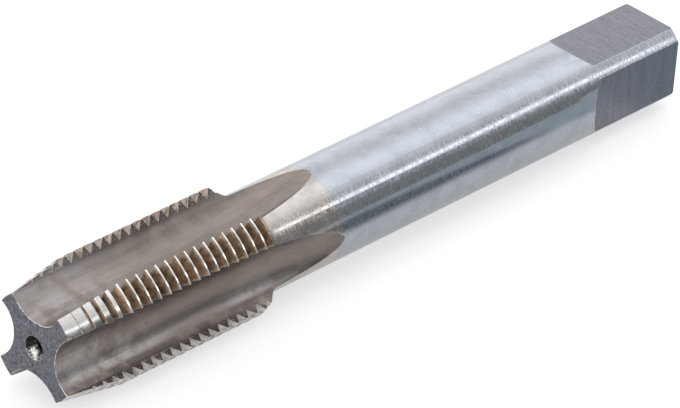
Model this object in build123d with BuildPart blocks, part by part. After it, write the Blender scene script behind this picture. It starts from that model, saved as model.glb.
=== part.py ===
"""Hand tap for 14 x 1.5 mm thread-insert holes, ground from one bar of high-speed steel.

The tap lies along X, as it comes to rest on a bench: two of its four lands point down and two
point up. The tip is at the -X end and the driving square at the +X end. The origin is on the
axis, in the middle of the plain shank. All sizes are in millimetres and all angles in degrees.
"""

from build123d import *

import math
import os

# ---------------------------------------------------------------- driving dimensions

# The whole tool, and how far behind the tip the middle of the plain shank is.
overall_length = 102.0
shank_diameter = 12.5
tip_to_origin = 65.0

# The cutting thread. The tap cuts oversize for a coiled insert, so its crests are 16 mm across.
thread_diameter = 16.0
thread_pitch = 1.5
thread_angle = 60.0
crest_flat = 0.19
root_flat = 0.10
thread_length = 30.8
tip_to_crest = 7.17

# The tapered lead that starts the cut.
tip_diameter = 13.39
lead_angle = 8.4

# The neck, where the thread falls away to the shank.
neck_angle = 45.0
neck_foot_radius = 1.2

# The flutes, and the lands between them.
flute_count = 4
land_width = 3.78
web_diameter = 6.86
face_foot_radius = 3.68
face_foot_lead = 25.9
heel_foot_radius = 4.06
heel_foot_lag = 24.3
flute_length = 19.5
wheel_radius = 100.0

# The driving square. Each flat ends in a ramp up to the shank.
square_across_flats = 10.0
square_length = 14.15
square_turn = 2.7
square_ramp_angle = 35.0
square_foot_radius = 1.0
end_chamfer = 0.2

# The 60-degree centre holes that the blank is ground between, and the pilot holes in them.
centre_diameter = 3.0
centre_angle = 60.0
pilot_diameter = 1.6
pilot_depth = 4.0

# Grinding wheels and drills start this far outside the surfaces that they cut.
overcut = 1.0

# ---------------------------------------------------------------- sizes that follow

thread_radius = thread_diameter / 2
shank_radius = shank_diameter / 2
tip_radius = tip_diameter / 2
web_radius = web_diameter / 2
centre_radius = centre_diameter / 2
pilot_radius = pilot_diameter / 2
flat_height = square_across_flats / 2

lead_slope = math.tan(math.radians(lead_angle))
lead_length = (thread_radius - tip_radius) / lead_slope
neck_length = (thread_radius - shank_radius) / math.tan(math.radians(neck_angle))

flank_slope = math.tan(math.radians(thread_angle / 2))
thread_depth = (thread_pitch - crest_flat - root_flat) / 2 / flank_slope
root_radius = thread_radius - thread_depth

flute_spacing = 360 / flute_count
first_land_angle = flute_spacing / 2
land_half_angle = math.degrees(math.asin(land_width / 2 / thread_radius))

# Stations along the axis.
tip_x = -tip_to_origin
end_x = tip_x + overall_length
lead_end_x = tip_x + lead_length
thread_end_x = tip_x + thread_length
neck_end_x = thread_end_x + neck_length
flute_end_x = tip_x + flute_length
square_start_x = end_x - square_length


def radial(angle: float) -> Vector:
    """Give a radial direction, with its angle counted anticlockwise by one who faces the tip."""
    return Vector(0, -math.cos(math.radians(angle)), math.sin(math.radians(angle)))


def polar(radius: float, angle: float) -> Vector:
    """Give a point of a flute's outline from its radius and its angle past the land's middle."""
    return Vector(radius * math.cos(math.radians(angle)), radius * math.sin(math.radians(angle)))


# ---------------------------------------------------------------- the flute wheel

# The flute's outline where its full depth ends. The outline's x axis is the middle of a land.
# The hollow cutting face comes next, then the web, and the heel of the next land. Behind this
# station the wheel lifts out of the bar on its own radius.
flute_plane = Plane(origin=(flute_end_x, 0, 0), x_dir=radial(first_land_angle), z_dir=(-1, 0, 0))
flute_middle = radial(first_land_angle + flute_spacing / 2)
wheel_axis = Axis(
    origin=Vector(flute_end_x, 0, 0) + flute_middle * (web_radius + wheel_radius),
    direction=Vector(1, 0, 0).cross(flute_middle),
)
wheel_arc = 30.0

with BuildPart() as flute_wheel:
    with BuildSketch(flute_plane) as flute_outline:
        with BuildLine():
            face_foot = polar(face_foot_radius, face_foot_lead)
            heel_foot = polar(heel_foot_radius, flute_spacing - heel_foot_lag)
            web = ThreePointArc(face_foot, polar(web_radius, flute_spacing / 2), heel_foot)
            face = TangentArc(face_foot, polar(thread_radius, land_half_angle), tangent=web % 0 * -1)
            heel_edge = polar(thread_radius, flute_spacing - land_half_angle)
            heel = TangentArc(heel_foot, heel_edge, tangent=web % 1)
            Polyline(
                face @ 1,
                face @ 1 + face % 1 * 2 * overcut,
                polar(thread_radius + 2 * overcut, flute_spacing / 2) * math.sqrt(2),
                heel @ 1 + heel % 1 * 2 * overcut,
                heel @ 1,
            )
        make_face()
    extrude(amount=flute_length + overcut)
    revolve(flute_outline.sketch, axis=wheel_axis, revolution_arc=wheel_arc)

# ---------------------------------------------------------------- the thread wheel

# One groove across one land: a short stretch of the thread's helix, which starts at the top of
# the bar and turns past the land with a margin on both sides.
groove_span = 2 * land_half_angle + 12
groove_rise = thread_pitch * groove_span / 360
groove_depth = thread_depth + 0.06

with BuildPart() as thread_wheel:
    with BuildLine() as groove_path:
        Helix(thread_pitch, groove_rise, root_radius, direction=(1, 0, 0))
    path_start = groove_path.line @ 0
    with BuildSketch(Plane(path_start, x_dir=path_start, z_dir=groove_path.line % 0)):
        Trapezoid(
            width=root_flat + 2 * groove_depth * flank_slope,
            height=groove_depth,
            left_side_angle=90 - thread_angle / 2,
            rotation=90,
            align=(Align.CENTER, Align.MAX),
        )
    sweep(path=groove_path.line, is_frenet=True)


def groove_places() -> list[Location]:
    """List where the thread's groove crosses each land, from the lead to the neck."""
    front_x = tip_x + (root_radius - tip_radius) / lead_slope - thread_pitch / 2
    back_x = neck_end_x + thread_pitch / 2
    places = []
    for land in range(flute_count):
        turn = 90 - first_land_angle - land * flute_spacing - groove_span / 2
        groove_x = tip_x + tip_to_crest + thread_pitch * (0.5 - land / flute_count)
        first = math.ceil((front_x - groove_x) / thread_pitch)
        last = math.floor((back_x - groove_x) / thread_pitch)
        for groove in range(first, last + 1):
            start_x = groove_x + groove * thread_pitch - groove_rise / 2
            places.append(Location((start_x, 0, 0), (turn, 0, 0)))
    return places


# ---------------------------------------------------------------- the square's wheel

with BuildPart() as square_wheel:
    with BuildSketch(Plane.XZ) as flat_outline:
        with BuildLine():
            ramp_rise = shank_radius + overcut - flat_height
            ramp_run = ramp_rise / math.tan(math.radians(square_ramp_angle))
            Polyline(
                (square_start_x, flat_height),
                (square_start_x - ramp_run, flat_height + ramp_rise),
                (end_x + overcut, flat_height + ramp_rise),
                (end_x + overcut, flat_height),
                close=True,
            )
        make_face()
        ramp_foot = flat_outline.vertices().sort_by_distance((square_start_x, flat_height))[0]
        fillet(ramp_foot, square_foot_radius)
    extrude(amount=shank_diameter, both=True)

# ---------------------------------------------------------------- the centre drill

centre_slope = math.tan(math.radians(centre_angle / 2))

with BuildPart() as centre_drill:
    with BuildSketch(Plane.XZ):
        with BuildLine():
            Polyline(
                (-overcut, 0),
                (-overcut, centre_radius + overcut * centre_slope),
                ((centre_radius - pilot_radius) / centre_slope, pilot_radius),
                (pilot_depth, pilot_radius),
                (pilot_depth, 0),
                close=True,
            )
        make_face()
    revolve(axis=Axis.X)

# ---------------------------------------------------------------- the tap

with BuildPart() as thread_tap:
    # The turned blank, with its lead, neck and shank.
    with BuildSketch(Plane.XZ) as blank_outline:
        with BuildLine():
            Polyline(
                (tip_x, 0),
                (tip_x, tip_radius),
                (lead_end_x, thread_radius),
                (thread_end_x, thread_radius),
                (neck_end_x, shank_radius),
                (end_x, shank_radius),
                (end_x, 0),
                close=True,
            )
        make_face()
        neck_foot = blank_outline.vertices().sort_by_distance((neck_end_x, shank_radius))[0]
        fillet(neck_foot, neck_foot_radius)
        end_corner = blank_outline.vertices().sort_by_distance((end_x, shank_radius))[0]
        chamfer(end_corner, end_chamfer)
    revolve(axis=Axis.X)

    # The centre holes in both ends.
    with Locations(Location((tip_x, 0, 0)), Location((end_x, 0, 0), (0, 0, 180))):
        add(centre_drill.part, mode=Mode.SUBTRACT)

    # The four flats of the driving square.
    for side in range(4):
        add(square_wheel.part.rotate(Axis.X, side * 90 + square_turn), mode=Mode.SUBTRACT)

    # The flutes, with the wheel's run-out into the shank.
    for flute in range(flute_count):
        add(flute_wheel.part.rotate(Axis.X, flute * flute_spacing), mode=Mode.SUBTRACT)

    # The thread that is left on the lands.
    with Locations(*groove_places()):
        add(thread_wheel.part, mode=Mode.SUBTRACT)

thread_tap.part.label = "thread_tap"
os.makedirs("parts", exist_ok=True)
export_step(thread_tap.part, "parts/thread_tap.step")
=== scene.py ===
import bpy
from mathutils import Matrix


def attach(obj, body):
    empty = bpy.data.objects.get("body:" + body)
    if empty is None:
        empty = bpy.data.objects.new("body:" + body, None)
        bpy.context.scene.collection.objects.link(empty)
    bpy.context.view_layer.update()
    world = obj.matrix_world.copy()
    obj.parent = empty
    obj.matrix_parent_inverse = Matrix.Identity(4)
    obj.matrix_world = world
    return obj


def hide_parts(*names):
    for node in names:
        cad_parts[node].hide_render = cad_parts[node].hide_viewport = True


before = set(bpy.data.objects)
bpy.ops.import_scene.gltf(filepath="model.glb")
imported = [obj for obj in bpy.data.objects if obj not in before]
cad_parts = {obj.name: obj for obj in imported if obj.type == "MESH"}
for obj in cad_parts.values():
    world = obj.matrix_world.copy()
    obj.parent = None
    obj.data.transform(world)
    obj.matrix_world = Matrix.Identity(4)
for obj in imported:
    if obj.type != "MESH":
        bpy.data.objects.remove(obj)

"""The looks of a straight-flute hand tap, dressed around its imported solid.

The tap lies along X with its tip at the -X end. Everything is in metres in the part's own frame:
the origin is on the tap's axis, in the middle of the plain shank.
"""

import logging
import math
from dataclasses import dataclass, field
from enum import Enum

import bpy
from mathutils import Matrix, Vector

log = logging.getLogger("thread_tap")

MM = 0.001
WELD = 0.0005 * MM  # Points closer than this are one point of the solid.

Pair = tuple[float, float]
Triple = tuple[float, float, float]
Tone = Triple  # A linear colour.

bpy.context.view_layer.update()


class Zone(Enum):
    """A ground surface of the tap. The value is its material slot."""

    SHANK = 0
    FLUTE = 1
    FLANK = 2
    CREST = 3
    NECK = 4
    TIP_FACE = 5
    SQUARE_END = 6
    FLAT = 7
    RAMP = 8
    CENTRE = 9
    PILOT = 10
    EDGE = 11


class Marks(Enum):
    """Which way a wheel left its marks: how often they repeat in a metre along X, Y and Z."""

    AROUND = (6000.0, 1300.0, 1300.0)
    ALONG = (110.0, 3200.0, 3200.0)
    ACROSS = (2600.0, 260.0, 260.0)
    PEBBLED = (2600.0, 2600.0, 2600.0)


# ---------------------------------------------------------------- shader nodes


class Effect(Enum):
    """An effect that several finishes share, by the name of its node group."""

    WHEEL_MARKS = "wheel_marks"
    BLOTS = "blots"
    STEEL_TONE = "steel_tone"
    AROUND_AXIS = "around_axis"


class Graph:
    """A node tree that is being written, with short calls for the nodes that the finishes use."""

    # A colour Mix node's sockets stand at these places: the amount, the two colours, the result.
    MIX_INPUTS = (0, 6, 7)
    MIX_OUTPUT = 2

    def __init__(self, tree: bpy.types.NodeTree) -> None:
        """Start on an empty tree."""
        self.tree = tree
        tree.nodes.clear()

    def node(self, kind: str, **settings: object) -> bpy.types.Node:
        """Add a node.

        Args:
            kind: Blender's name for its kind.
            settings: Its settings, by name.

        Returns:
            The node.
        """
        node = self.tree.nodes.new(kind)
        for name, value in settings.items():
            setattr(node, name, value)
        return node

    def put(self, socket: bpy.types.NodeSocket, value: object) -> None:
        """Link a socket to another node's output, or set its value.

        Args:
            socket: The input socket.
            value: The output, number, vector or colour that goes into it.
        """
        if isinstance(value, bpy.types.NodeSocket):
            self.tree.links.new(value, socket)
        elif socket.type == "RGBA":
            socket.default_value = (*value[:3], 1.0)
        else:
            socket.default_value = value

    def math(self, operation: str, *values: object) -> bpy.types.NodeSocket:
        """Work out a number with a Math node.

        Args:
            operation: Blender's name for what the node does.
            values: One to three numbers.

        Returns:
            The result.
        """
        node = self.node("ShaderNodeMath", operation=operation)
        for socket, value in zip(node.inputs, values):
            self.put(socket, value)
        return node.outputs[0]

    def step(self, value: object, low: object, high: object,
             start: object = 0.0, end: object = 1.0) -> bpy.types.NodeSocket:
        """Give a smooth step of a value.

        Args:
            value: The value.
            low: Where the step starts. It may be above where it ends.
            high: Where the step ends.
            start: The result before the step.
            end: The result after it.

        Returns:
            The result.
        """
        node = self.node("ShaderNodeMapRange", interpolation_type="SMOOTHSTEP")
        for socket, number in zip(node.inputs, (value, low, high, start, end)):
            self.put(socket, number)
        return node.outputs["Result"]

    def edge(self, value: object, middle: float, blur: float) -> bpy.types.NodeSocket:
        """Give a smooth step of a value from 0 to 1 around a middle."""
        return self.step(value, middle - blur, middle + blur)

    def axes(self, vector: object) -> list[bpy.types.NodeSocket]:
        """Take a vector apart.

        Args:
            vector: The vector.

        Returns:
            Its X, Y and Z.
        """
        node = self.node("ShaderNodeSeparateXYZ")
        self.put(node.inputs[0], vector)
        return list(node.outputs)

    def noise(self, vector: object, scale: object, detail: float,
              rough: float) -> bpy.types.NodeSocket:
        """Give a noise value, from 0 to 1.

        Args:
            vector: Where it is read.
            scale: How often it repeats in one unit of the vector.
            detail: How many finer layers it has.
            rough: How strong the finer layers are.

        Returns:
            The value.
        """
        node = self.node("ShaderNodeTexNoise")
        self.put(node.inputs["Vector"], vector)
        self.put(node.inputs["Scale"], scale)
        self.put(node.inputs["Detail"], detail)
        self.put(node.inputs["Roughness"], rough)
        return node.outputs["Fac"]

    def blend(self, amount: object, first: object, second: object) -> bpy.types.NodeSocket:
        """Mix two colours.

        Args:
            amount: The second colour's share, from 0 to 1.
            first: The first colour.
            second: The second colour.

        Returns:
            The mix.
        """
        node = self.node("ShaderNodeMix", data_type="RGBA")
        for index, value in zip(self.MIX_INPUTS, (amount, first, second)):
            self.put(node.inputs[index], value)
        return node.outputs[self.MIX_OUTPUT]

    def effect(self, effect: Effect, **values: object) -> bpy.types.Node:
        """Place an effect's node group.

        Args:
            effect: The effect.
            values: A value for each of the group's inputs, by its name in lower case.

        Returns:
            The group's node.
        """
        node = self.node("ShaderNodeGroup", node_tree=bpy.data.node_groups[effect.value])
        for name, value in values.items():
            self.put(node.inputs[name.capitalize()], value)
        return node


@dataclass(frozen=True)
class EffectBuilder:
    """The node groups of the shared effects, each built once."""

    line_detail: float = 3.0
    blot_detail: float = 4.0
    fine_share: float = 0.6

    def build(self) -> None:
        """Build all groups."""
        self._wheel_marks()
        self._blots()
        self._steel_tone()
        self._around_axis()

    def _start(self, effect: Effect, inputs: dict[str, str],
               outputs: dict[str, str]) -> tuple[Graph, bpy.types.NodeOutputs, bpy.types.NodeInputs]:
        """Open a group.

        Args:
            effect: The effect that the group is for.
            inputs: The kind of socket for each input's name.
            outputs: The kind of socket for each output's name.

        Returns:
            The graph, the sockets that bring values in and the sockets that take results out.
        """
        tree = bpy.data.node_groups.new(effect.value, "ShaderNodeTree")
        for in_out, sockets in (("INPUT", inputs), ("OUTPUT", outputs)):
            for name, kind in sockets.items():
                tree.interface.new_socket(name=name, in_out=in_out, socket_type=f"NodeSocket{kind}")
        graph = Graph(tree)
        return graph, graph.node("NodeGroupInput").outputs, graph.node("NodeGroupOutput").inputs

    def _wheel_marks(self) -> None:
        """Fine lines that a wheel leaves: noise that is stretched along them."""
        graph, given, result = self._start(
            Effect.WHEEL_MARKS, {"Place": "Vector", "Repeat": "Vector"}, {"Lines": "Float"})
        stretched = graph.node("ShaderNodeVectorMath", operation="MULTIPLY")
        graph.put(stretched.inputs[0], given["Place"])
        graph.put(stretched.inputs[1], given["Repeat"])
        lines = graph.noise(stretched.outputs[0], 1.0, self.line_detail, self.fine_share)
        graph.put(result["Lines"], lines)

    def _blots(self) -> None:
        """Soft blots, or specks where the limits are high and close together."""
        graph, given, result = self._start(
            Effect.BLOTS, {"Place": "Vector", "Repeat": "Float", "Low": "Float", "High": "Float"},
            {"Mask": "Float"})
        cloud = graph.noise(given["Place"], given["Repeat"], self.blot_detail, self.fine_share)
        graph.put(result["Mask"], graph.step(cloud, given["Low"], given["High"]))

    def _steel_tone(self) -> None:
        """Steel's colour, stained in spots and lighter or darker along the wheel's lines."""
        graph, given, result = self._start(
            Effect.STEEL_TONE,
            {"Tone": "Color", "Stain": "Color", "Spots": "Float", "Lines": "Float",
             "Contrast": "Float"},
            {"Colour": "Color"})
        stained = graph.blend(given["Spots"], given["Tone"], given["Stain"])
        centred = graph.math("SUBTRACT", given["Lines"], 0.5)
        lightness = graph.math("MULTIPLY_ADD", centred, given["Contrast"], 1.0)
        lit = graph.node("ShaderNodeVectorMath", operation="SCALE")
        graph.put(lit.inputs[0], stained)
        graph.put(lit.inputs["Scale"], lightness)
        graph.put(result["Colour"], lit.outputs[0])

    def _around_axis(self) -> None:
        """How far a place is from the tool's axis, and how far its surface leans round it."""
        graph, given, result = self._start(
            Effect.AROUND_AXIS, {"Place": "Vector", "Normal": "Vector"},
            {"Radius": "Float", "Lean": "Float"})
        _, y, z = graph.axes(given["Place"])
        _, normal_y, normal_z = graph.axes(given["Normal"])
        squares = graph.math("MULTIPLY_ADD", z, z, graph.math("POWER", y, 2.0))
        radius = graph.math("SQRT", squares)
        turned = graph.math("MULTIPLY", y, normal_z)
        back = graph.math("MULTIPLY", z, normal_y)
        lean = graph.math("DIVIDE", graph.math("SUBTRACT", turned, back), radius)
        graph.put(result["Radius"], radius)
        graph.put(result["Lean"], lean)


# ---------------------------------------------------------------- finishes


@dataclass(frozen=True)
class Spots:
    """A pattern of blots or specks: how often it repeats in a metre, and how it fades in."""

    repeat: float
    low: float = 0.42
    high: float = 0.66


@dataclass(frozen=True)
class SteelFinish:
    """A bare steel surface, with its wheel marks and stains."""

    name: str
    tone: Tone
    stain: Tone
    roughness: float
    marks: Marks
    contrast: float = 0.3
    depth: float = 0.001
    stains: Spots = Spots(420.0)
    scatter: float = 0.05
    rough_lines: Pair = (0.3, 0.75)

    def material(self) -> bpy.types.Material:
        """Build the material.

        Returns:
            The material.
        """
        material = bpy.data.materials.new(self.name)
        material.use_nodes = True
        graph = Graph(material.node_tree)
        place = graph.node("ShaderNodeTexCoord").outputs["Object"]
        lines = graph.effect(Effect.WHEEL_MARKS, place=place, repeat=self.marks.value).outputs[0]
        bump = graph.node("ShaderNodeBump")
        graph.put(bump.inputs["Height"], lines)
        graph.put(bump.inputs["Distance"], self.depth * MM)
        shader = graph.node("ShaderNodeBsdfPrincipled")
        graph.put(shader.inputs["Base Color"], self.colour(graph, place, lines))
        graph.put(shader.inputs["Metallic"], 1.0)
        smooth = self.roughness - self.scatter / 3
        rough = self.roughness + self.scatter
        graph.put(shader.inputs["Roughness"], graph.step(lines, *self.rough_lines, smooth, rough))
        graph.put(shader.inputs["Normal"], bump.outputs[0])
        output = graph.node("ShaderNodeOutputMaterial")
        graph.put(output.inputs["Surface"], shader.outputs[0])
        return material

    def blots(self, graph: Graph, place: object, spots: Spots) -> bpy.types.NodeSocket:
        """Give a mask of blots or specks.

        Args:
            graph: The material's nodes.
            place: The place on the tap.
            spots: Their pattern.

        Returns:
            The mask, from 0 to 1.
        """
        node = graph.effect(Effect.BLOTS, place=place, repeat=spots.repeat, low=spots.low,
                            high=spots.high)
        return node.outputs[0]

    def steel(self, graph: Graph, place: object, lines: object, tone: object,
              stain: object) -> bpy.types.NodeSocket:
        """Give a tone with its stains and wheel marks.

        Args:
            graph: The material's nodes.
            place: The place on the tap.
            lines: The wheel marks there, from 0 to 1.
            tone: The clean steel's colour.
            stain: The stains' colour.

        Returns:
            The colour.
        """
        spots = self.blots(graph, place, self.stains)
        node = graph.effect(Effect.STEEL_TONE, tone=tone, stain=stain, spots=spots, lines=lines,
                            contrast=self.contrast)
        return node.outputs[0]

    def colour(self, graph: Graph, place: object, lines: object) -> bpy.types.NodeSocket:
        """Give the surface's colour.

        Args:
            graph: The material's nodes.
            place: The place on the tap.
            lines: The wheel marks there, from 0 to 1.

        Returns:
            The colour.
        """
        return self.steel(graph, place, lines, self.tone, self.stain)

    def around(self, graph: Graph, place: object) -> bpy.types.Node:
        """Give a node that tells the radius and the lean of the surface around the axis."""
        normal = graph.node("ShaderNodeNewGeometry").outputs["Normal"]
        return graph.effect(Effect.AROUND_AXIS, place=place, normal=normal)


@dataclass(frozen=True)
class ShankFinish(SteelFinish):
    """The ground shank: its front end kept a warm temper tint, and tiny pits show as specks."""

    warm_tone: Tone = (0.51, 0.48, 0.46)
    warm_stain_share: float = 0.8
    warm_end_x: float = -22.5 * MM
    warm_blur: float = 0.25 * MM
    speck_tone: Tone = (0.85, 0.87, 0.90)
    specks: Spots = Spots(2400.0, 0.66, 0.70)
    speck_cover: float = 0.4

    def colour(self, graph: Graph, place: object, lines: object) -> bpy.types.NodeSocket:
        """Give the tone of the warm front end or of the bare shank, with its specks.

        Args:
            graph: The material's nodes.
            place: The place on the tap.
            lines: The wheel marks there, from 0 to 1.

        Returns:
            The colour.
        """
        x, _, _ = graph.axes(place)
        behind = graph.edge(x, self.warm_end_x, self.warm_blur)
        warm_stain = tuple(self.warm_stain_share * part for part in self.warm_tone)
        tone = graph.blend(behind, self.warm_tone, self.tone)
        stain = graph.blend(behind, warm_stain, self.stain)
        ground = self.steel(graph, place, lines, tone, stain)
        specks = graph.math("MULTIPLY", self.blots(graph, place, self.specks), self.speck_cover)
        return graph.blend(specks, ground, self.speck_tone)


@dataclass(frozen=True)
class FluteFinish(SteelFinish):
    """The flutes: bright cutting faces with a darker band towards the thread, darker heels, and burrs
    at the thread.

    A surface leans -1 where it is a cutting face, 0 at the web and 1 where it is a heel.
    """

    face_tone: Tone = (0.325, 0.298, 0.295)
    face_lean: Pair = (-0.35, -0.85)
    heel_tone: Tone = (0.19, 0.165, 0.15)
    heel_lean: Pair = (0.35, 0.85)
    worn_tone: Tone = (0.42, 0.40, 0.405)
    worn_end_x: float = -46.0 * MM
    worn_length: float = 15.0 * MM
    worn_cover: float = 0.5
    band_repeat: Triple = (14.0, 800.0, 800.0)
    band_contrast: float = 0.6
    face_dark_tone: Tone = (0.14, 0.117, 0.107)
    dark_band_radius: float = 5.9 * MM
    dark_band_blur: float = 0.3 * MM
    dark_band_lean: Pair = (-0.35, -0.75)
    soot_reach: tuple[float, ...] = (-52.0 * MM, -46.0 * MM, -41.0 * MM, -36.0 * MM)
    soot_lean: Pair = (-0.2, -0.7)
    soot_cover: float = 0.5
    rim_tone: Tone = (0.19, 0.165, 0.15)
    rim_lean: Pair = (0.5, -0.3)
    burr_tone: Tone = (0.62, 0.60, 0.58)
    burr_radius: float = 6.7 * MM
    burr_blur: float = 0.8 * MM
    burrs: Spots = Spots(4800.0, 0.54, 0.62)
    sparks: Spots = Spots(3600.0, 0.62, 0.68)
    pits: Spots = Spots(4300.0, 0.56, 0.64)
    pit_share: float = 0.35
    pit_cover: float = 0.12
    pit_cover_at_thread: float = 0.6

    def colour(self, graph: Graph, place: object, lines: object) -> bpy.types.NodeSocket:
        """Give the tone of the ground steel, then its soot, the cutting faces' darker band, burrs and
        pits.

        Args:
            graph: The material's nodes.
            place: The place on the tap.
            lines: The wheel marks there, from 0 to 1.

        Returns:
            The colour.
        """
        around = self.around(graph, place)
        lean = around.outputs["Lean"]
        radius = around.outputs["Radius"]
        x, _, _ = graph.axes(place)
        worn = graph.step(x, self.worn_end_x, self.worn_end_x - self.worn_length)
        on_face = graph.step(lean, *self.dark_band_lean)
        near_thread = graph.step(radius, self.burr_radius, self.burr_radius + self.burr_blur)
        tone = self._clean_tone(graph, place, lean, worn)
        tone = graph.blend(self._soot(graph, x, lean), tone, self.face_dark_tone)
        # A darker band on the cutting faces, from a radius of 5.9 mm outwards.
        dark_band = graph.edge(radius, self.dark_band_radius, self.dark_band_blur)
        tone = graph.blend(graph.math("MULTIPLY", dark_band, on_face), tone, self.face_dark_tone)
        rim = graph.math("MULTIPLY", near_thread, graph.step(lean, *self.rim_lean))
        tone = graph.blend(rim, tone, self.rim_tone)
        ground = self.steel(graph, place, lines, tone, self.stain)
        sparks = graph.math("MULTIPLY", self.blots(graph, place, self.sparks), on_face)
        sparks = graph.math("MULTIPLY", sparks, worn)
        burrs = graph.math("MULTIPLY", self.blots(graph, place, self.burrs), near_thread)
        bright = graph.blend(graph.math("MAXIMUM", burrs, sparks), ground, self.burr_tone)
        cover = graph.math("MULTIPLY_ADD", near_thread, self.pit_cover_at_thread, self.pit_cover)
        pits = graph.math("MULTIPLY", self.blots(graph, place, self.pits), cover)
        return graph.blend(pits, bright, tuple(self.pit_share * part for part in self.tone))

    def _clean_tone(self, graph: Graph, place: object, lean: object,
                    worn: object) -> bpy.types.NodeSocket:
        """Give the tone of the ground steel, with its long bands and its worn front end.

        Args:
            graph: The material's nodes.
            place: The place on the tap.
            lean: How far the surface leans round the axis.
            worn: How worn it is, from 0 to 1.

        Returns:
            The tone.
        """
        tone = graph.blend(graph.step(lean, *self.face_lean), self.tone, self.face_tone)
        tone = graph.blend(graph.step(lean, *self.heel_lean), tone, self.heel_tone)
        tone = graph.blend(graph.math("MULTIPLY", worn, self.worn_cover), tone, self.worn_tone)
        bands = graph.effect(Effect.WHEEL_MARKS, place=place, repeat=self.band_repeat).outputs[0]
        banded = graph.effect(Effect.STEEL_TONE, tone=tone, stain=tone, spots=0.0, lines=bands,
                              contrast=self.band_contrast)
        return banded.outputs[0]

    def _soot(self, graph: Graph, x: object, lean: object) -> bpy.types.NodeSocket:
        """Give a mask of the darker stretch in the middle of each cutting face.

        Args:
            graph: The material's nodes.
            x: The place along the tap.
            lean: How far the surface leans round the axis.

        Returns:
            The mask, from 0 to 1.
        """
        start, full, fade, end = self.soot_reach
        along = graph.math("MULTIPLY", graph.step(x, start, full), graph.step(x, end, fade))
        on_face = graph.step(lean, *self.soot_lean, 0.0, self.soot_cover)
        return graph.math("MULTIPLY", along, on_face)


@dataclass(frozen=True)
class FlankFinish(SteelFinish):
    """The thread's flanks: browned by old oil and grey at the crests, with painted light greying two
    lands and lightening the underside.
    """

    gold: Tone = (0.50, 0.37, 0.23)
    patches: Spots = Spots(900.0, 0.45, 0.62)
    patch_cover: float = 0.6
    tip_and_lit_tone: Tone = (0.42, 0.39, 0.38)
    tip_radius: float = 7.9 * MM
    tip_blur: float = 0.1 * MM
    painted_light_blur: float = 4.0 * MM * MM
    painted_light_cover: float = 0.45
    underside_light_tone: Tone = (0.66, 0.64, 0.65)
    underside_light_stain: Tone = (0.38, 0.35, 0.34)
    underside_light_top_z: float = -2.0 * MM
    underside_light_blur: float = 2.0 * MM
    underside_light_cover: float = 0.9

    def colour(self, graph: Graph, place: object, lines: object) -> bpy.types.NodeSocket:
        """Give the browned tone, grey at the crests, with the painted light on two lands and
        underneath.

        Args:
            graph: The material's nodes.
            place: The place on the tap.
            lines: The wheel marks there, from 0 to 1.

        Returns:
            The colour.
        """
        _, y, z = graph.axes(place)
        patches = graph.math("MULTIPLY", self.blots(graph, place, self.patches), self.patch_cover)
        tone = graph.blend(patches, self.tone, self.gold)
        high = graph.edge(self.around(graph, place).outputs["Radius"], self.tip_radius, self.tip_blur)
        # Y times Z is positive on the upper back land and the lower front land.
        # Painted light: the flanks of these two lands turn greyer.
        side = graph.math("MULTIPLY", y, z)
        painted_light = graph.step(side, -self.painted_light_blur, self.painted_light_blur, 0.0, self.painted_light_cover)
        tone = graph.blend(graph.math("MAXIMUM", high, painted_light), tone, self.tip_and_lit_tone)
        browned = self.steel(graph, place, lines, tone, self.stain)
        underside_light = self.steel(graph, place, lines, self.underside_light_tone, self.underside_light_stain)
        # Painted light: the flanks below z = -2 mm take a lighter tone.
        underside_light_mask = graph.step(z, self.underside_light_top_z, self.underside_light_top_z - self.underside_light_blur, 0.0, self.underside_light_cover)
        return graph.blend(underside_light_mask, browned, underside_light)


@dataclass(frozen=True)
class CentreFinish(SteelFinish):
    """The drilled centres: bright and pitted at the bottom, with painted shade over the upper part.
    """

    hole_shade: Tone = (0.03, 0.027, 0.024)
    hole_shade_line: float = -0.05 * MM
    hole_shade_blur: float = 0.2 * MM
    hole_shade_slope: float = 0.45
    hole_shade_cover: float = 0.88
    streaks: Spots = Spots(1500.0, 0.62, 0.52)
    streak_cover: float = 0.12

    def colour(self, graph: Graph, place: object, lines: object) -> bpy.types.NodeSocket:
        """Give the bright bottom, and the painted shade above a sloping line.

        Args:
            graph: The material's nodes.
            place: The place on the tap.
            lines: The wheel marks there, from 0 to 1.

        Returns:
            The colour.
        """
        _, y, z = graph.axes(place)
        ground = self.steel(graph, place, lines, self.tone, self.stain)
        # Painted shade: the upper part of the hole is darkened above a sloping line.
        level = graph.math("MULTIPLY_ADD", y, self.hole_shade_slope, z)
        hole_shade_mask = graph.edge(level, self.hole_shade_line, self.hole_shade_blur)
        streaks = self.blots(graph, place, self.streaks)
        cover = graph.math("MULTIPLY_ADD", streaks, self.streak_cover, self.hole_shade_cover)
        return graph.blend(graph.math("MULTIPLY", hole_shade_mask, cover), ground, self.hole_shade)


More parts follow.
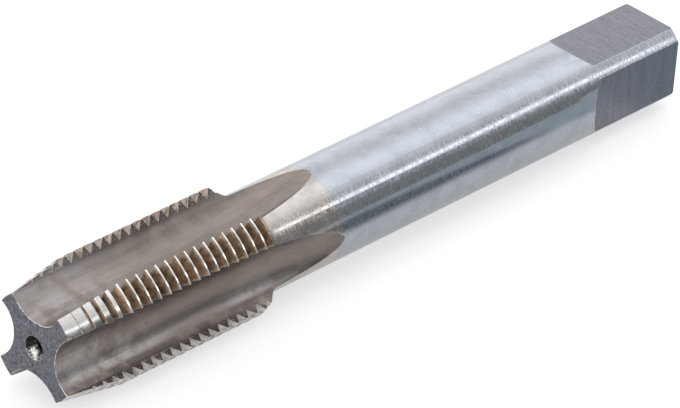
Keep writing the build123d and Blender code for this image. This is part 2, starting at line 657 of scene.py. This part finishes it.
@dataclass(frozen=True)
class CrestFinish(SteelFinish):
    """The thread's crests: polished by the wheel, less bright on the wide bands of the lead, and with
    painted shade on the lower side of those bands.
    """

    lead_tone: Tone = (0.70, 0.69, 0.68)
    lead_end_x: float = -56.16 * MM
    lead_blur: float = 3.0 * MM
    painted_shade_tone: Tone = (0.20, 0.195, 0.19)
    painted_shade_reach: tuple[float, ...] = (0.1 * MM, -1.5 * MM, -4.0 * MM, -5.0 * MM)

    def colour(self, graph: Graph, place: object, lines: object) -> bpy.types.NodeSocket:
        """Give the bright tone, with the duller bands of the lead and the painted shade on their
        lower side.

        Args:
            graph: The material's nodes.
            place: The place on the tap.
            lines: The wheel marks there, from 0 to 1.

        Returns:
            The colour.
        """
        x, y, z = graph.axes(place)
        behind = graph.step(x, self.lead_end_x - self.lead_blur, self.lead_end_x)
        # Y plus Z falls from the upper to the lower side of the upper front land.
        aside = graph.math("ADD", y, z)
        start, full, fade, end = self.painted_shade_reach
        # Painted shade: the lead's bands darken towards their lower side.
        painted_shade = graph.math("MULTIPLY", graph.step(aside, start, full), graph.step(aside, end, fade))
        lead = graph.blend(painted_shade, self.lead_tone, self.painted_shade_tone)
        tone = graph.blend(behind, lead, self.tone)
        return self.steel(graph, place, lines, tone, self.stain)


FINISHES = {
    Zone.SHANK: ShankFinish("ground_shank", (0.425, 0.445, 0.485), (0.38, 0.40, 0.44), 0.14,
                            Marks.AROUND, contrast=0.3, depth=0.0014, scatter=0.20),
    Zone.FLUTE: FluteFinish("ground_flute", (0.262, 0.224, 0.201), (0.235, 0.20, 0.178), 0.36,
                            Marks.ALONG, contrast=0.5, depth=0.003),
    Zone.FLANK: FlankFinish("ground_flank", (0.34, 0.26, 0.19), (0.18, 0.128, 0.09), 0.32,
                            Marks.AROUND, contrast=0.8, depth=0.002, stains=Spots(1300.0)),
    Zone.CREST: CrestFinish("bright_crest", (0.85, 0.84, 0.81), (0.60, 0.57, 0.54), 0.14,
                            Marks.AROUND, contrast=0.3, depth=0.0006,
                            stains=Spots(1300.0, 0.55, 0.68)),
    Zone.NECK: SteelFinish("ground_neck", (0.46, 0.42, 0.38), (0.34, 0.30, 0.26), 0.25,
                           Marks.AROUND, contrast=0.5),
    Zone.TIP_FACE: SteelFinish("tip_face", (0.175, 0.178, 0.20), (0.12, 0.123, 0.142), 0.42,
                               Marks.PEBBLED, contrast=2.3, depth=0.018, stains=Spots(1700.0)),
    Zone.SQUARE_END: SteelFinish("square_end", (0.25, 0.255, 0.28), (0.18, 0.185, 0.21), 0.45,
                                 Marks.PEBBLED, contrast=0.5, depth=0.004, stains=Spots(900.0)),
    Zone.FLAT: SteelFinish("ground_flat", (0.235, 0.238, 0.268), (0.20, 0.202, 0.23), 0.36,
                           Marks.ACROSS, contrast=0.7, depth=0.003, stains=Spots(2400.0)),
    Zone.RAMP: SteelFinish("ground_ramp", (0.25, 0.255, 0.285), (0.19, 0.195, 0.22), 0.38,
                           Marks.ACROSS, contrast=0.5, depth=0.003),
    Zone.CENTRE: CentreFinish("drilled_centre", (0.74, 0.72, 0.69), (0.12, 0.105, 0.095), 0.25,
                              Marks.PEBBLED, contrast=0.8, depth=0.012,
                              stains=Spots(2600.0, 0.50, 0.58)),
    # The pilot bores' near-black tone is painted shade deep in the hole.
    Zone.PILOT: SteelFinish("pilot_painted_shade", (0.035, 0.03, 0.028), (0.02, 0.018, 0.016), 0.5,
                            Marks.AROUND, contrast=0.5, depth=0.002),
    # The bevelled edges' lighter tone is a painted highlight along every edge.
    Zone.EDGE: SteelFinish("edge_painted_highlight", (0.64, 0.63, 0.61), (0.27, 0.25, 0.235), 0.24,
                           Marks.PEBBLED, contrast=0.5, depth=0.001,
                           stains=Spots(1900.0, 0.52, 0.60)),
}


# ---------------------------------------------------------------- the tap


def select_only(piece: bpy.types.Object) -> None:
    """Select a piece and nothing else.

    Args:
        piece: The piece.
    """
    bpy.ops.object.select_all(action="DESELECT")
    piece.select_set(True)
    bpy.context.view_layer.objects.active = piece


@dataclass
class MissedGroove:
    """The stretch of the thread's groove that the solid leaves uncut on its lower front land."""

    middle_x: float = -46.205 * MM
    land_angle: float = 135.0
    span: float = 40.0
    pitch: float = 1.5 * MM
    root_radius: float = 6.954 * MM
    root_flat: float = 0.1 * MM
    reach: float = 1.3 * MM
    flank_angle: float = 30.0
    steps: int = 9

    def cut(self, piece: bpy.types.Object) -> None:
        """Cut the groove into a piece.

        Args:
            piece: The tap's merged mesh.
        """
        wheel = self._wheel()
        groove = piece.modifiers.new("groove", "BOOLEAN")
        groove.operation = "DIFFERENCE"
        groove.solver = "EXACT"
        groove.object = wheel
        select_only(piece)
        bpy.ops.object.modifier_apply(modifier=groove.name)
        bpy.data.objects.remove(wheel)

    def _wheel(self) -> bpy.types.Object:
        """Sweep the groove's outline along its stretch of the thread, and close both ends.

        Returns:
            The closed shape that the groove leaves empty.
        """
        bpy.ops.object.select_all(action="DESELECT")
        bpy.ops.mesh.primitive_circle_add(vertices=4)
        wheel = bpy.context.object
        rise = self.pitch * self.span / 360
        wide = self.root_flat / 2 + self.reach * math.tan(math.radians(self.flank_angle))
        top = self.root_radius + self.reach
        low = self.root_flat / 2
        outline = ((-low, self.root_radius), (low, self.root_radius), (wide, top), (-wide, top))
        start = Matrix.Rotation(math.radians(self.land_angle - self.span / 2), 3, "X")
        for vertex, (along, radius) in zip(wheel.data.vertices, outline):
            vertex.co = start @ Vector((self.middle_x - rise / 2 + along, 0, radius))
        sweep = wheel.modifiers.new("sweep", "SCREW")
        sweep.axis = "X"
        sweep.angle = math.radians(self.span)
        sweep.screw_offset = rise
        sweep.steps = self.steps
        sweep.render_steps = self.steps
        bpy.ops.object.modifier_apply(modifier=sweep.name)
        bpy.ops.object.mode_set(mode="EDIT")
        bpy.ops.mesh.select_all(action="SELECT")
        bpy.ops.mesh.remove_doubles(threshold=WELD)
        bpy.ops.mesh.fill_holes(sides=0)
        bpy.ops.mesh.select_all(action="SELECT")
        bpy.ops.mesh.normals_make_consistent(inside=False)
        bpy.ops.object.mode_set(mode="OBJECT")
        return wheel


@dataclass
class TapBody:
    """The tap in one piece: the ground blank with its thread, flutes, square and centre holes.

    A name in facing limits the X of a face's normal, and one in outward its part away from the axis.
    """

    name: str = "ground_tap"
    node: str = "thread_tap"
    tip_x: float = -65.0 * MM
    end_x: float = 37.0 * MM
    neck_end_x: float = -32.45 * MM
    square_start_x: float = 22.85 * MM
    shank_radius: float = 6.25 * MM
    thread_radius: float = 8.0 * MM
    thread_depth: float = 1.05 * MM
    hole_radius: float = 1.5 * MM
    pilot_radius: float = 0.8 * MM
    ramp_length: float = 3.0 * MM
    slack: float = 0.03 * MM
    root_slack: float = 0.09 * MM
    end_facing: float = 0.99
    flank_facing: float = 0.8
    ramp_facing: float = 0.3
    runout_facing: float = 0.05
    shank_facing: float = 0.02
    root_facing: float = -0.01
    crest_outward: float = 0.95
    shank_outward: float = 0.6
    flat_outward: float = 0.3
    hole_outward: float = -0.5
    edge_weld: float = 0.008 * MM
    quad_face_angle: float = 4.0
    quad_shape_angle: float = 40.0
    flat_angle: float = 1.0
    sharp_angle: float = 24.0
    smooth_angle: float = 18.0
    edge_break: float = 0.055 * MM
    narrow_share: float = 0.25
    tip_edge_reach: float = 0.01 * MM
    square_edge_reach: float = 4.0 * MM
    hole_edge_reach: float = 0.1 * MM
    lengthwise_share: float = 0.5
    shank_cuts: tuple[float, ...] = (-21.0 * MM, 18.0 * MM)
    piece: bpy.types.Object | None = field(default=None, init=False)

    def build(self) -> bpy.types.Object:
        """Copy the solid's mesh, break its edges and give every surface its finish.

        Returns:
            The dressed tap.
        """
        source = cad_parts[self.node]
        piece = bpy.data.objects.new(self.name, source.data.copy())
        bpy.context.scene.collection.objects.link(piece)
        piece.data.name = self.name
        piece.data.materials.clear()
        self.piece = piece
        select_only(piece)
        bpy.ops.object.mode_set(mode="EDIT")
        bpy.ops.mesh.select_mode(type="FACE")
        bpy.ops.mesh.select_all(action="SELECT")
        bpy.ops.mesh.remove_doubles(threshold=WELD)
        bpy.ops.mesh.customdata_custom_splitnormals_clear()
        bpy.ops.object.mode_set(mode="OBJECT")
        MissedGroove().cut(piece)
        bpy.ops.object.mode_set(mode="EDIT")
        bpy.ops.mesh.select_all(action="SELECT")
        bpy.ops.mesh.tris_convert_to_quads(
            face_threshold=math.radians(self.quad_face_angle),
            shape_threshold=math.radians(self.quad_shape_angle),
        )
        bpy.ops.object.mode_set(mode="OBJECT")
        for zone in Zone:
            piece.data.materials.append(FINISHES[zone].material())
        for face in piece.data.polygons:
            face.material_index = self._zone(face.center, face.normal).value
        self._join_flat_faces()
        self._break_edges()
        bpy.ops.object.shade_smooth_by_angle(angle=math.radians(self.smooth_angle))
        return piece

    def _zone(self, centre: Vector, normal: Vector) -> Zone:
        """Tell which surface a face belongs to.

        Args:
            centre: The face's centre.
            normal: The face's outward normal.

        Returns:
            The surface.
        """
        radius = math.hypot(centre.y, centre.z)
        outward = (normal.y * centre.y + normal.z * centre.z) / max(radius, self.slack)
        if radius < self.pilot_radius + self.slack:
            return Zone.PILOT
        if radius < self.hole_radius + self.slack and outward < self.hole_outward:
            return Zone.CENTRE
        if normal.x < -self.end_facing and centre.x < self.tip_x + self.slack:
            return Zone.TIP_FACE
        if normal.x > self.end_facing and centre.x > self.end_x - self.slack:
            return Zone.SQUARE_END
        on_shank = radius > self.shank_radius - self.slack
        on_square = centre.x > self.square_start_x - self.ramp_length and not on_shank
        if on_square and outward > self.flat_outward:
            return Zone.RAMP if abs(normal.x) > self.ramp_facing else Zone.FLAT
        if on_shank and centre.x > self.neck_end_x and outward > self.shank_outward:
            straight = abs(normal.x) < self.shank_facing or centre.x > 0
            return Zone.SHANK if straight else Zone.NECK
        if abs(normal.x) > self.flank_facing:
            return Zone.FLANK
        if on_shank and outward > self.crest_outward:
            low = radius < self.thread_radius - self.thread_depth + self.root_slack
            return Zone.FLANK if low and normal.x > self.root_facing else Zone.CREST
        if on_shank and normal.x > self.runout_facing:
            return Zone.NECK
        return Zone.FLUTE

    def _join_flat_faces(self) -> None:
        """Join faces that lie in one plane, and cut the shank's long faces across."""
        for face in self.piece.data.polygons:
            face.select = face.material_index not in (Zone.FLUTE.value, Zone.FLANK.value)
        bpy.ops.object.mode_set(mode="EDIT")
        bpy.ops.mesh.dissolve_limited(
            angle_limit=math.radians(self.flat_angle), delimit={"MATERIAL"})
        for cut_x in self.shank_cuts:
            bpy.ops.mesh.select_all(action="SELECT")
            bpy.ops.mesh.bisect(plane_co=(cut_x, 0, 0), plane_no=(1, 0, 0))
        bpy.ops.object.mode_set(mode="OBJECT")

    def _break_edges(self) -> None:
        """Bevel the sharp edges, in full at the rims of both ends and more narrowly elsewhere."""
        bpy.ops.object.mode_set(mode="EDIT")
        bpy.ops.mesh.select_mode(type="EDGE")
        bpy.ops.mesh.select_all(action="DESELECT")
        bpy.ops.mesh.edges_select_sharp(sharpness=math.radians(self.sharp_angle))
        bpy.ops.object.mode_set(mode="OBJECT")
        mesh = self.piece.data
        weights = mesh.attributes.new("bevel_weight_edge", "FLOAT", "EDGE")
        for edge in mesh.edges:
            if edge.select:
                ends = [mesh.vertices[index].co for index in edge.vertices]
                weights.data[edge.index].value = self._edge_share(*ends)
        bevel = self.piece.modifiers.new("edge_break", "BEVEL")
        bevel.limit_method = "WEIGHT"
        bevel.width = self.edge_break
        bevel.segments = 1
        bevel.use_clamp_overlap = False
        # The bevels' faces take the lighter edge finish, a painted highlight along the edges.
        bevel.material = Zone.EDGE.value
        bpy.ops.object.modifier_apply(modifier=bevel.name)
        bpy.ops.object.mode_set(mode="EDIT")
        bpy.ops.mesh.select_mode(type="VERT")
        bpy.ops.mesh.select_all(action="SELECT")
        bpy.ops.mesh.remove_doubles(threshold=self.edge_weld)
        bpy.ops.object.mode_set(mode="OBJECT")

    def _edge_share(self, start: Vector, end: Vector) -> float:
        """Tell how much of the full edge break an edge gets.

        Args:
            start: One end of the edge.
            end: Its other end.

        Returns:
            A share from 0 to 1.
        """
        at_tip = max(start.x, end.x) < self.tip_x + self.tip_edge_reach
        at_square = min(start.x, end.x) > self.square_start_x - self.square_edge_reach
        at_hole = math.hypot(start.y, start.z) < self.hole_radius + self.hole_edge_reach
        lengthwise = abs(end.x - start.x) > self.lengthwise_share * (end - start).length
        whole = (at_tip or at_square) and not (at_hole or lengthwise)
        return 1.0 if whole else self.narrow_share


# ---------------------------------------------------------------- the studio


@dataclass
class Studio:
    """The pale table, a dark sheet over it that paints a dark reflection in the metal, the light and
    the camera.

    The tent's pairs are an angle round the tap, from 0 overhead to 90 in front, and the light there.
    """

    camera_place: Triple = (-0.43984, -0.40649, 0.34832)
    camera_turn: Triple = (59.2539, -1.7595, -45.1277)
    lens: float = 308.08
    sensor_width: float = 36.0
    camera_reach: Pair = (0.01, 10.0)
    stage_x: float = -34.0 * MM
    table_drop: float = 6.945 * MM
    table_slope: float = 0.7
    table_size: float = 3.0
    table_tone: Tone = (0.42, 0.42, 0.42)
    table_roughness: float = 0.9
    table_glow: float = 0.6
    mirrored_glow: float = 0.42
    dark_reflection_size: Pair = (0.8, 0.32)
    dark_reflection_y: float = -162.0 * MM
    dark_reflection_lift: float = 0.05 * MM
    dark_reflection_edge_y: Pair = (-21.0 * MM, -12.0 * MM)
    dark_reflection_end_x: Pair = (-10.0 * MM, -22.0 * MM)
    dark_reflection_shift: float = -13.0 * MM
    dark_reflection_shift_x: Pair = (26.0 * MM, 38.0 * MM)
    dark_reflection_tint: Tone = (0.82, 0.92, 1.0)
    dark_reflection_glow: Pair = (0.23, 0.62)
    dark_reflection_glow_x: Pair = (20.0 * MM, 30.0 * MM)
    tent_tint: Tone = (0.98, 0.99, 1.0)
    tent_scale: float = 2.0
    tent: tuple[Pair, ...] = (
        (-180, 0.9), (-95, 1.3), (-75, 1.43), (-55, 1.4), (-38, 1.05), (-20, 1.24), (0, 1.75),
        (18, 1.55), (34, 0.85), (50, 0.6), (61, 0.42), (74, 0.3), (92, 0.25), (110, 0.4), (180, 0.9),
    )
    strip_angle: float = 50.7
    strip_reach: Pair = (0.5, 5.0)
    strip_strength: float = 2.6

    def build(self) -> None:
        """Set everything up."""
        self._table()
        self._dark_reflection()
        self._world()
        self._camera()
        bpy.context.scene.view_settings.view_transform = "Standard"

    def _plane(self, name: str, length: float, width: float, place: Triple) -> bpy.types.Object:
        """Add a stage plane that slopes as the table does.

        Args:
            name: Its name.
            length: Its size along X.
            width: Its size along Y.
            place: Its middle.

        Returns:
            The plane.
        """
        bpy.ops.object.select_all(action="DESELECT")
        bpy.ops.mesh.primitive_plane_add(size=1.0)
        plane = bpy.context.object
        plane.name = name
        slope = Matrix.Rotation(-math.radians(self.table_slope), 4, "Y")
        spread = Matrix.Diagonal((length, width, 1, 1))
        plane.data.transform(Matrix.Translation(place) @ slope @ spread)
        return plane

    def _table(self) -> None:
        """Lay the table under the lowest land edges and the shank."""
        place = (self.stage_x, 0, -self.table_drop)
        table = self._plane("table", self.table_size, self.table_size, place)
        material = bpy.data.materials.new("white_table")
        material.use_nodes = True
        graph = Graph(material.node_tree)
        paint = graph.node("ShaderNodeBsdfPrincipled")
        graph.put(paint.inputs["Base Color"], self.table_tone)
        graph.put(paint.inputs["Roughness"], self.table_roughness)
        path = graph.node("ShaderNodeLightPath")
        seen = graph.math("MULTIPLY", path.outputs["Is Camera Ray"], self.table_glow)
        others = graph.math(
            "MAXIMUM", path.outputs["Is Glossy Ray"], path.outputs["Is Transmission Ray"])
        mirrored = graph.math("MULTIPLY", others, self.mirrored_glow)
        glow = graph.node("ShaderNodeEmission")
        graph.put(glow.inputs["Strength"], graph.math("MAXIMUM", seen, mirrored))
        both = graph.node("ShaderNodeAddShader")
        graph.put(both.inputs[0], paint.outputs[0])
        graph.put(both.inputs[1], glow.outputs[0])
        output = graph.node("ShaderNodeOutputMaterial")
        graph.put(output.inputs["Surface"], both.outputs[0])
        table.data.materials.append(material)

    def _dark_reflection(self) -> None:
        """Lay a dark sheet over the table in front of the shank, seen only in reflections: a painted
        dark reflection for the metal to mirror.
        """
        place = (self.stage_x, self.dark_reflection_y, self.dark_reflection_lift - self.table_drop)
        dark_sheet = self._plane("painted_dark_reflection", *self.dark_reflection_size, place)
        # Only glossy rays see the sheet, and its glow paints the dark band that the metal mirrors.
        dark_sheet.visible_camera = False
        dark_sheet.visible_diffuse = False
        dark_sheet.visible_shadow = False
        material = bpy.data.materials.new("painted_dark_reflection")
        material.use_nodes = True
        graph = Graph(material.node_tree)
        x, y, _ = graph.axes(graph.node("ShaderNodeTexCoord").outputs["Object"])
        closer = graph.step(x, *self.dark_reflection_shift_x, 0.0, self.dark_reflection_shift)
        behind = graph.step(graph.math("ADD", y, closer), *self.dark_reflection_edge_y)
        open_part = graph.math("MAXIMUM", behind, graph.step(x, *self.dark_reflection_end_x))
        glow = graph.node("ShaderNodeEmission")
        graph.put(glow.inputs["Color"], self.dark_reflection_tint)
        graph.put(glow.inputs["Strength"], graph.step(x, *self.dark_reflection_glow_x, *self.dark_reflection_glow))
        nothing = graph.node("ShaderNodeBsdfTransparent")
        both = graph.node("ShaderNodeMixShader")
        graph.put(both.inputs[0], open_part)
        graph.put(both.inputs[1], glow.outputs[0])
        graph.put(both.inputs[2], nothing.outputs[0])
        output = graph.node("ShaderNodeOutputMaterial")
        graph.put(output.inputs["Surface"], both.outputs[0])
        dark_sheet.data.materials.append(material)

    def _world(self) -> None:
        """Surround the table with a light tent that has one bright strip along the tap."""
        world = bpy.data.worlds.new("light_tent")
        bpy.context.scene.world = world
        world.use_nodes = True
        graph = Graph(world.node_tree)
        path = graph.node("ShaderNodeLightPath")
        _, y, z = graph.axes(graph.node("ShaderNodeTexCoord").outputs["Generated"])
        lean = graph.math("ARCTAN2", graph.math("MULTIPLY", y, -1.0), z)
        share = graph.math("MULTIPLY_ADD", lean, 0.5 / math.pi, 0.5)
        tent = graph.node("ShaderNodeValToRGB")
        tent.color_ramp.interpolation = "B_SPLINE"
        stops = tent.color_ramp.elements
        stops.remove(stops[1])
        for angle, strength in self.tent:
            stop = stops[0] if angle == self.tent[0][0] else stops.new(angle / 360 + 0.5)
            stop.color = (*[strength / self.tent_scale] * 3, 1)
        graph.put(tent.inputs[0], share)
        from_strip = graph.math("SUBTRACT", lean, math.radians(self.strip_angle))
        off_strip = graph.math("ABSOLUTE", from_strip)
        inner, outer = (math.radians(reach) for reach in self.strip_reach)
        strip = graph.step(off_strip, inner, outer, self.strip_strength, 0.0)
        glow = graph.math("MULTIPLY_ADD", tent.outputs[0], self.tent_scale, strip)
        shine = graph.node("ShaderNodeBackground")
        graph.put(shine.inputs["Color"], self.tent_tint)
        strength = graph.math("MAXIMUM", path.outputs["Is Camera Ray"], glow)
        graph.put(shine.inputs["Strength"], strength)
        output = graph.node("ShaderNodeOutputWorld")
        graph.put(output.inputs["Surface"], shine.outputs[0])

    def _camera(self) -> None:
        """Point a long lens at the tap."""
        data = bpy.data.cameras.new("camera")
        data.lens = self.lens
        data.sensor_width = self.sensor_width
        data.clip_start, data.clip_end = self.camera_reach
        camera = bpy.data.objects.new("camera", data)
        bpy.context.scene.collection.objects.link(camera)
        camera.location = self.camera_place
        camera.rotation_euler = [math.radians(turn) for turn in self.camera_turn]
        bpy.context.scene.camera = camera


def main() -> None:
    """Build the effects, the tap and the studio, in order."""
    logging.basicConfig(level=logging.INFO, format="%(name)s: %(message)s")
    EffectBuilder().build()
    piece = TapBody().build()
    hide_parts("thread_tap")
    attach(piece, "root")
    log.info("%s: %d faces", piece.name, len(piece.data.polygons))
    Studio().build()
    log.info("studio: table, tent and camera ready")


if __name__ == "__main__":
    main()
